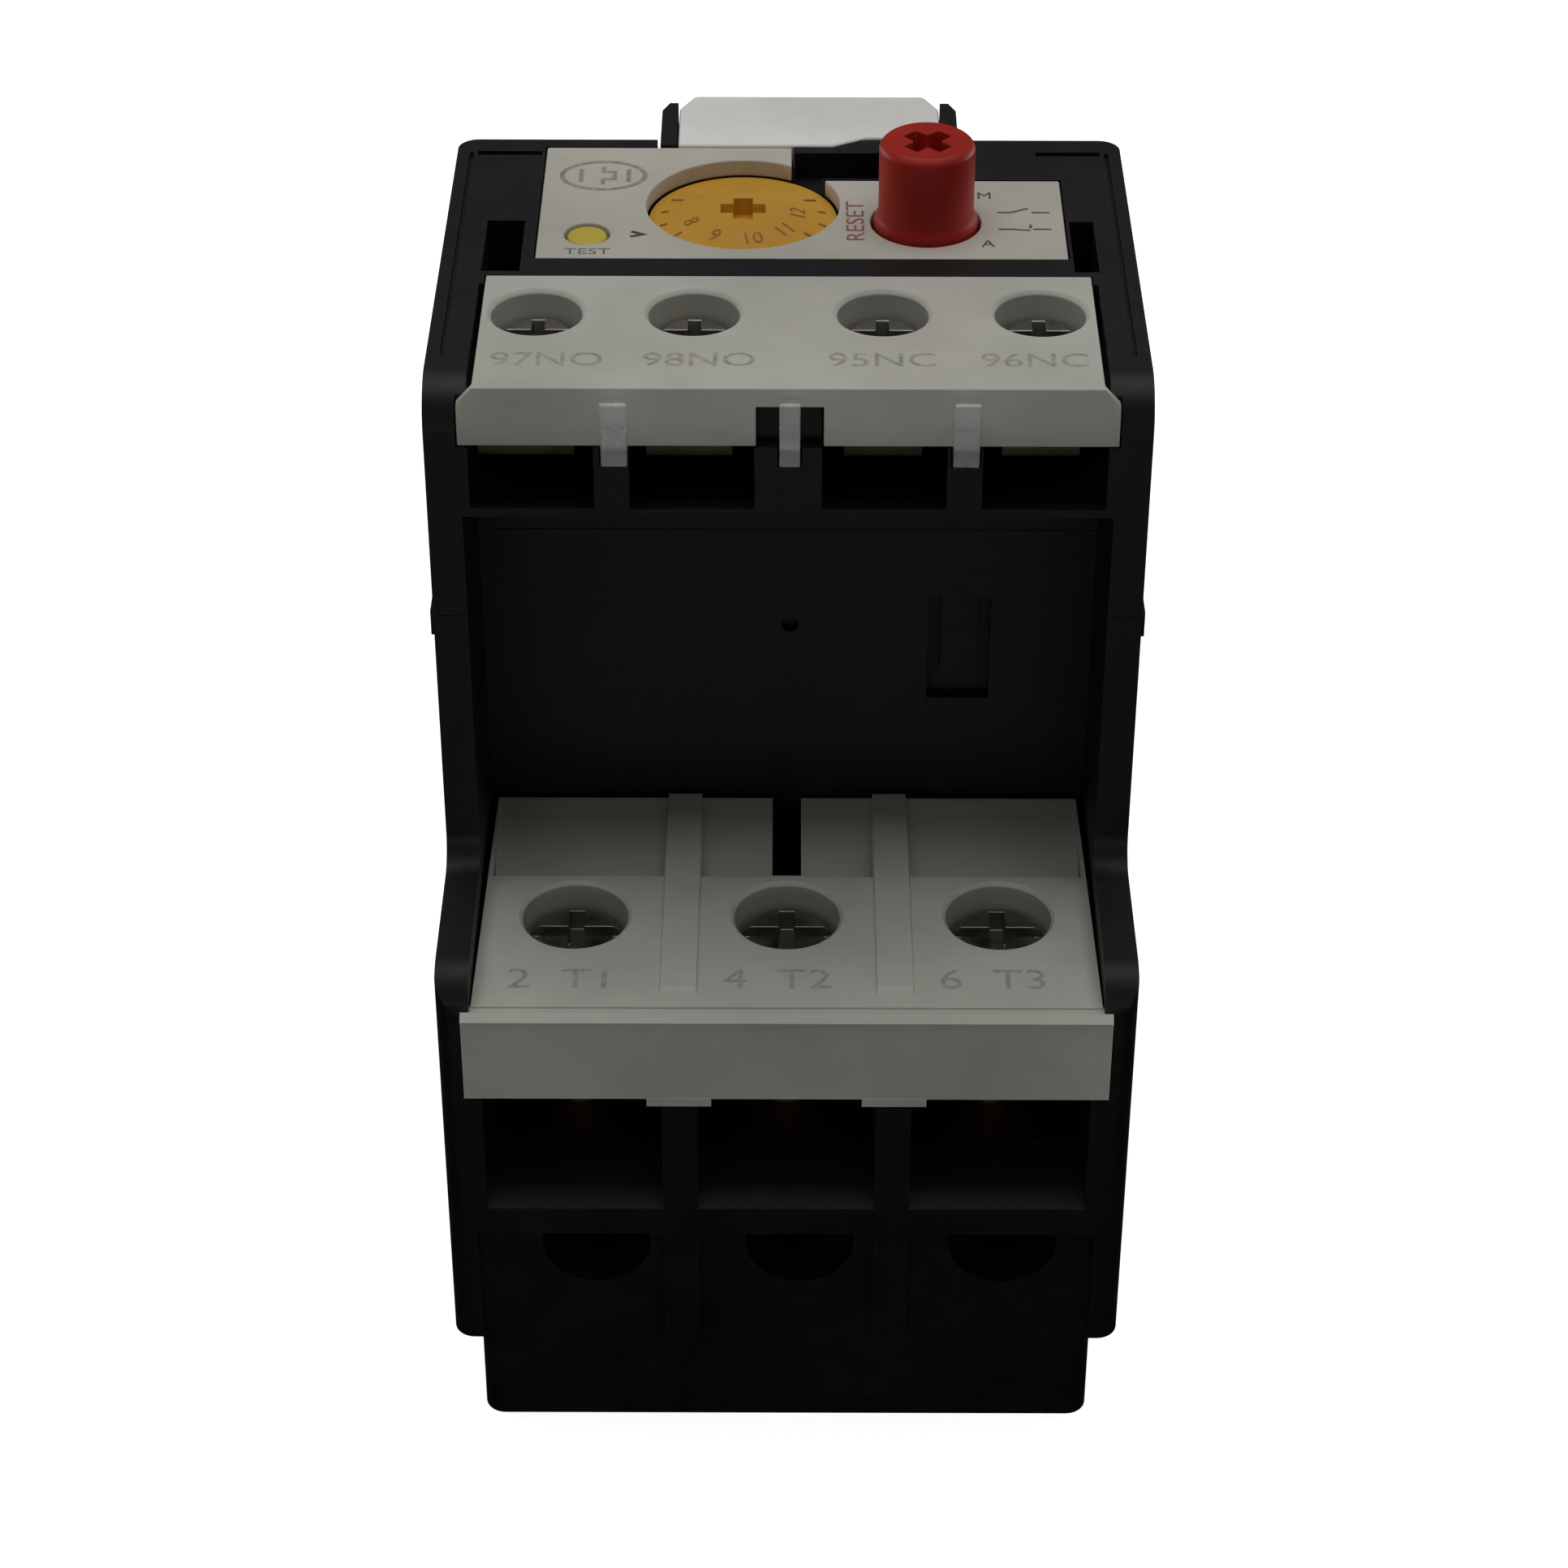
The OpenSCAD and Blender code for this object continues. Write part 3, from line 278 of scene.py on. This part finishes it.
LATCHES = ("cover_latch_1", "cover_latch_2", "cover_latch_3")
EDGE_MM = {
    "rear_housing": 0.3,
    "front_housing": 0.3,
    "label_plate": 0.12,
    "aux_terminal_cover": 0.22,
    "power_terminal_cover": 0.25,
    **{latch: 0.15 for latch in LATCHES},
    "tag_holder": 0.2,
    "marker_tag": 0.25,
    "setting_dial": 0.12,
    "reset_button": 0.18,
    "test_button": 0.2,
    "trip_slide": 0.15,
    "contact_carrier": 0.15,
}
OTHER_EDGE_MM = 0.08
COILS = ("spring", "winding")
WELD_MM = 0.001
FLAT_WITHIN_DEG = 0.5
CORNER_DEG = 35


def soften(obj, width):
    """Rounds the node's sharp edges a little, with flat faces kept flat in shading."""
    weld = obj.modifiers.new("weld", "WELD")
    weld.merge_threshold = WELD_MM * MM
    planes = obj.modifiers.new("planes", "DECIMATE")
    planes.decimate_type = "DISSOLVE"
    planes.angle_limit = math.radians(FLAT_WITHIN_DEG)
    bevel = obj.modifiers.new("edges", "BEVEL")
    bevel.width = width * MM
    bevel.segments = 2
    bevel.limit_method = "ANGLE"
    bevel.angle_limit = math.radians(CORNER_DEG)
    bevel.use_clamp_overlap = True
    shading = obj.modifiers.new("shading", "WEIGHTED_NORMAL")
    shading.mode = "FACE_AREA"
    shading.weight = 90
    shading.keep_sharp = False


for name, obj in nodes.items():
    if not any(coil in name for coil in COILS):
        soften(obj, EDGE_MM.get(name, OTHER_EDGE_MM))


# ---------------------------------------------------------------- printed marks

PRINT_T = 0.02 * MM
SIZE_PER_CAPITAL = 1.38
MITRE_LIMIT = 0.4
COVER_RIB_MM = 0.35
label_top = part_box("label_plate")[1].z
aux_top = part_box("aux_terminal_cover")[1].z
power_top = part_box("power_terminal_cover")[1].z - COVER_RIB_MM * MM


def centre_mm(node):
    """Middle of a node in plan, in mm."""
    low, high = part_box(node)
    return (low.x + high.x) / 2 / MM, (low.y + high.y) / 2 / MM


def add_mesh(name, mesh, material, body):
    obj = bpy.data.objects.new(name, mesh)
    bpy.context.scene.collection.objects.link(obj)
    mesh.materials.append(MATERIALS[material])
    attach(obj, body)
    return obj


def lettering(name, text, at_mm, z, height_mm, material, body="root", turn=0.0, width=1.0):
    """A generic printed marking, as thin raised ink centred at a place."""
    curve = bpy.data.curves.new(name, "FONT")
    curve.body = text
    curve.align_x = "CENTER"
    curve.align_y = "CENTER"
    curve.size = height_mm * SIZE_PER_CAPITAL * MM
    curve.extrude = PRINT_T / 2
    curve.resolution_u = 3
    maker = bpy.data.objects.new(name + "_curve", curve)
    bpy.context.scene.collection.objects.link(maker)
    place = Matrix.Translation((at_mm[0] * MM, at_mm[1] * MM, z))
    spin = Matrix.Rotation(math.radians(turn), 4, "Z")
    maker.matrix_world = place @ spin @ Matrix.Diagonal((width, 1, 1, 1))
    bpy.context.view_layer.update()
    mesh = bpy.data.meshes.new_from_object(maker.evaluated_get(bpy.context.evaluated_depsgraph_get()))
    mesh.transform(maker.matrix_world)
    bpy.data.objects.remove(maker)
    bpy.data.curves.remove(curve)
    mesh.materials.clear()
    return add_mesh(name, mesh, material, body)


def mitred_sides(points, half):
    """Left and right edges of a line drawn through the points, with mitred corners."""
    closed = points[0] == points[-1]
    spots = [Vector((*p, 0)) * MM for p in points]
    runs = [(b - a).normalized() for a, b in zip(spots, spots[1:])]
    sides = []
    for i, spot in enumerate(spots):
        before = runs[i - 1] if i > 0 or closed else runs[0]
        after = runs[i] if i < len(runs) else (runs[0] if closed else runs[-1])
        normal = Vector((-before.y - after.y, before.x + after.x, 0)).normalized()
        reach = half / max(MITRE_LIMIT, normal.dot(Vector((-after.y, after.x, 0))))
        sides.append((spot + normal * reach, spot - normal * reach))
    return sides


def stroke_mesh(name, strokes, z, width_mm, material, body="root"):
    """Printed line work: each stroke is a list of points in mm, drawn as a flat band."""
    mesh = bpy.data.meshes.new(name)
    bm = bmesh.new()
    lift = Vector((0, 0, PRINT_T / 2))
    level = Vector((0, 0, z))
    for points in strokes:
        rings = []
        for left, right in mitred_sides(points, width_mm / 2 * MM):
            corners = (left - lift, right - lift, right + lift, left + lift)
            rings.append([bm.verts.new(corner + level) for corner in corners])
        for a, b in zip(rings, rings[1:]):
            for i in range(4):
                j = (i + 1) % 4
                bm.faces.new((a[i], a[j], b[j], b[i]))
        if points[0] != points[-1]:
            bm.faces.new(rings[0][::-1])
            bm.faces.new(rings[-1])
    bmesh.ops.recalc_face_normals(bm, faces=bm.faces)
    bm.to_mesh(mesh)
    bm.free()
    return add_mesh(name, mesh, material, body)


def ellipse(centre, half_x, half_y, steps=40):
    turns = [2 * math.pi * i / steps for i in range(steps)]
    points = [(centre[0] + half_x * math.cos(a), centre[1] + half_y * math.sin(a)) for a in turns]
    return points + points[:1]


# ---------------------------------------------------------------- terminal numbers

TERMINALS = ((97, "NO"), (98, "NO"), (95, "NC"), (96, "NC"))
TERMINAL_MARK_WIDTH = 1.15
AUX_MARK_MM = 1.75
AUX_MARK_Y_MM = -6.6
AUX_MARK_SPREAD = 0.95
AUX_MARK_RIGHT_MM = 0.15
POWER_MARK_MM = 2.1
POWER_MARK_Y_MM = -20.9
POWER_MARK_LEFT_MM = 0.6


def print_terminal_marks():
    for number, kind in TERMINALS:
        x = AUX_MARK_SPREAD * centre_mm(f"aux_screw_{number}")[0] + AUX_MARK_RIGHT_MM
        lettering(f"mark_{number}", f"{number}{kind}", (x, AUX_MARK_Y_MM), aux_top, AUX_MARK_MM,
                  "ink_grey", width=TERMINAL_MARK_WIDTH)
    for pole in (1, 2, 3):
        x = centre_mm(f"power_screw_{pole}")[0] - POWER_MARK_LEFT_MM
        lettering(f"mark_T{pole}", f"{2 * pole}  T{pole}", (x, POWER_MARK_Y_MM), power_top, POWER_MARK_MM,
                  "ink_grey", width=TERMINAL_MARK_WIDTH)


print_terminal_marks()


# ---------------------------------------------------------------- label

# contact symbols: fixed lead, hinge, blade tip, and the far lead's two ends
LEAD_X_MM, HINGE_X_MM, TIP_X_MM = 13.8, 14.7, 15.9
FAR_LEAD_X_MM = (16.1, 17.3)
CONTACT_LINE_MM = 0.18
POINTER_LINE_MM = 0.3
BADGE_IN_MM = (4.0, 4.3)
BADGE_HALF_MM = (2.8, 2.05)
BADGE_LINE_MM = 0.34
SYMBOL_LINE_MM = 0.3


def print_words(test, reset):
    lettering("mark_test", "TEST", (test[0] + 0.1, test[1] - 2.55), label_top, 0.85, "ink_green", width=1.2)
    lettering("mark_reset", "RESET", (reset[0] - 4.6, reset[1]), label_top, 1.25, "ink_red",
              turn=90, width=1.25)
    lettering("mark_manual", "M", (reset[0] + 4.0, reset[1] + 3.7), label_top, 1.0, "ink_dark")
    lettering("mark_auto", "A", (reset[0] + 4.0, reset[1] - 3.2), label_top, 1.0, "ink_dark")


def print_contact_symbols(reset_y):
    """A make contact and a break contact beside the manual and automatic positions."""
    contacts = []
    for y, blade in ((reset_y + 1.3, 0.6), (reset_y - 1.1, -0.15)):
        contacts.append([(LEAD_X_MM, y), (HINGE_X_MM, y), (TIP_X_MM, y + blade)])
        contacts.append([(x, y) for x in FAR_LEAD_X_MM])
    stop_x = TIP_X_MM + 0.05
    contacts.append([(stop_x, reset_y - 0.95), (stop_x, reset_y - 0.45)])
    stroke_mesh("mark_contacts", contacts, label_top, CONTACT_LINE_MM, "ink_dark")


def print_dial_pointer():
    x, y = centre_mm("setting_dial")
    pointer = [(x - 7.35, y - 4.85), (x - 6.55, y - 4.5), (x - 7.3, y - 4.1)]
    stroke_mesh("mark_dial_pointer", [pointer], label_top, POINTER_LINE_MM, "ink_dark")


def print_thermal_symbol():
    """Oval badge round the standard symbol of a thermal release, a stepped line in a box."""
    low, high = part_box("label_plate")
    x, y = low.x / MM + BADGE_IN_MM[0], high.y / MM - BADGE_IN_MM[1]
    stroke_mesh("mark_badge", [ellipse((x, y), *BADGE_HALF_MM)], label_top, BADGE_LINE_MM, "ink_logo")
    end, half, out = 1.3, 0.55, 0.75
    step = [(x, y - end), (x, y - half), (x + out, y - half),
            (x + out, y + half), (x, y + half), (x, y + end)]
    near_side = [(x - 1.5, y - 0.95), (x - 1.5, y + 0.95)]
    far_side = [(x + 1.7, y - 0.95), (x + 1.7, y + 0.95)]
    stroke_mesh("mark_thermal_symbol", [step, near_side, far_side], label_top, SYMBOL_LINE_MM, "ink_logo")


print_words(centre_mm("test_button"), centre_mm("reset_button"))
print_contact_symbols(centre_mm("reset_button")[1])
print_dial_pointer()
print_thermal_symbol()


# ---------------------------------------------------------------- dial face

CROWN_R_MM = (2.2, 5.8)
CROWN_H_MM = 0.85
TICK_TURNS_DEG = range(-210, 31, 20)
TICK_OUTER_MM = 5.6
LONG_TICK_MM, SHORT_TICK_MM = 4.7, 5.1
TICK_LINE_MM = 0.2
NUMERAL_RADIUS_MM = 3.7
NUMERAL_MM = 1.1
dial_middle = centre_mm("setting_dial")
dial_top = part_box("setting_dial")[1].z


def lay_on_crown(obj):
    """Lowers a flat print made at the crown's top onto the crown's slope."""
    for vertex in obj.data.vertices:
        radius = math.dist((vertex.co.x / MM, vertex.co.y / MM), dial_middle)
        down = (radius - CROWN_R_MM[0]) / (CROWN_R_MM[1] - CROWN_R_MM[0])
        vertex.co.z -= CROWN_H_MM * min(1.0, max(0.0, down)) * MM


def on_dial(radius, angle):
    turn = math.radians(angle)
    return dial_middle[0] + radius * math.cos(turn), dial_middle[1] + radius * math.sin(turn)


def print_dial():
    ticks = []
    for angle in TICK_TURNS_DEG:
        inner = LONG_TICK_MM if angle % 60 == 30 else SHORT_TICK_MM
        ticks.append([on_dial(inner, angle), on_dial(TICK_OUTER_MM, angle)])
    lay_on_crown(stroke_mesh("dial_ticks", ticks, dial_top, TICK_LINE_MM, "ink_brown", "dial"))
    for number, angle in zip(range(8, 13), range(-160, 1, 40)):
        place = on_dial(NUMERAL_RADIUS_MM, angle)
        numeral = lettering(f"dial_number_{number}", str(number), place, dial_top, NUMERAL_MM,
                            "ink_brown", "dial", turn=angle + 90)
        lay_on_crown(numeral)


print_dial()


# ---------------------------------------------------------------- studio

FLOOR_SIZE = 6
FLOOR_GLOW = 0.8
SKY_STRENGTH = 0.13
SKY_FADE = (-0.05, 0.25)
WHITE = (1, 1, 1, 1)

# name, place, aim and size in mm, and power in watts
LAMPS = (
    ("overhead", (0, 24, 400), (0, 0, 50), (420, 260), 0.63),
    ("front_fill", (0, -140, 32), (0, 0, 25), (220, 40), 0.028),
    ("rear_fill_left", (-250, 150, 75), (0, 0, 38), (160, 70), 0.2),
    ("rear_fill_right", (250, 150, 75), (0, 0, 38), (160, 70), 0.2),
)


def make_floor():
    s = Shader("floor_paper")
    tone = s.noise(PAPER_SCALE, 3)
    base = s.mix(s.ramp(tone, 0.3, 0.7), (0.86, 0.86, 0.86), (0.9, 0.9, 0.9))
    roughness = s.ramp(tone, 0.3, 0.7, 0.85, 0.95)
    material = s.finish(base, roughness, Emission_Color=WHITE, Emission_Strength=FLOOR_GLOW)
    bpy.ops.mesh.primitive_plane_add(size=FLOOR_SIZE)
    floor = bpy.context.object
    floor.name = "floor"
    floor.data.materials.append(material)
    # the object is lit by the lamps and not by the floor's bounce
    floor.visible_diffuse = False
    floor.visible_glossy = False


def area_light(name, place_mm, aim_mm, size_mm, power):
    data = bpy.data.lights.new(name, "AREA")
    data.shape = "RECTANGLE"
    data.size = size_mm[0] * MM
    data.size_y = size_mm[1] * MM
    data.energy = power
    light = bpy.data.objects.new(name, data)
    place = Vector(place_mm) * MM
    light.location = place
    light.rotation_euler = (Vector(aim_mm) * MM - place).to_track_quat("-Z", "Y").to_euler()
    light.visible_camera = False
    bpy.context.scene.collection.objects.link(light)


def make_world():
    """Dim even sky that fades out at the horizon."""
    world = bpy.data.worlds.new("studio")
    world.use_nodes = True
    tree = world.node_tree
    coords = tree.nodes.new("ShaderNodeTexCoord")
    split = tree.nodes.new("ShaderNodeSeparateXYZ")
    fade = tree.nodes.new("ShaderNodeMapRange")
    fade.inputs["From Min"].default_value = SKY_FADE[0]
    fade.inputs["From Max"].default_value = SKY_FADE[1]
    fade.inputs["To Max"].default_value = SKY_STRENGTH
    tree.links.new(coords.outputs["Generated"], split.inputs["Vector"])
    tree.links.new(split.outputs["Z"], fade.inputs["Value"])
    tree.nodes["Background"].inputs["Color"].default_value = WHITE
    tree.links.new(fade.outputs["Result"], tree.nodes["Background"].inputs["Strength"])
    bpy.context.scene.world = world


make_floor()
for lamp in LAMPS:
    area_light(*lamp)
make_world()
bpy.context.scene.view_settings.view_transform = "Standard"
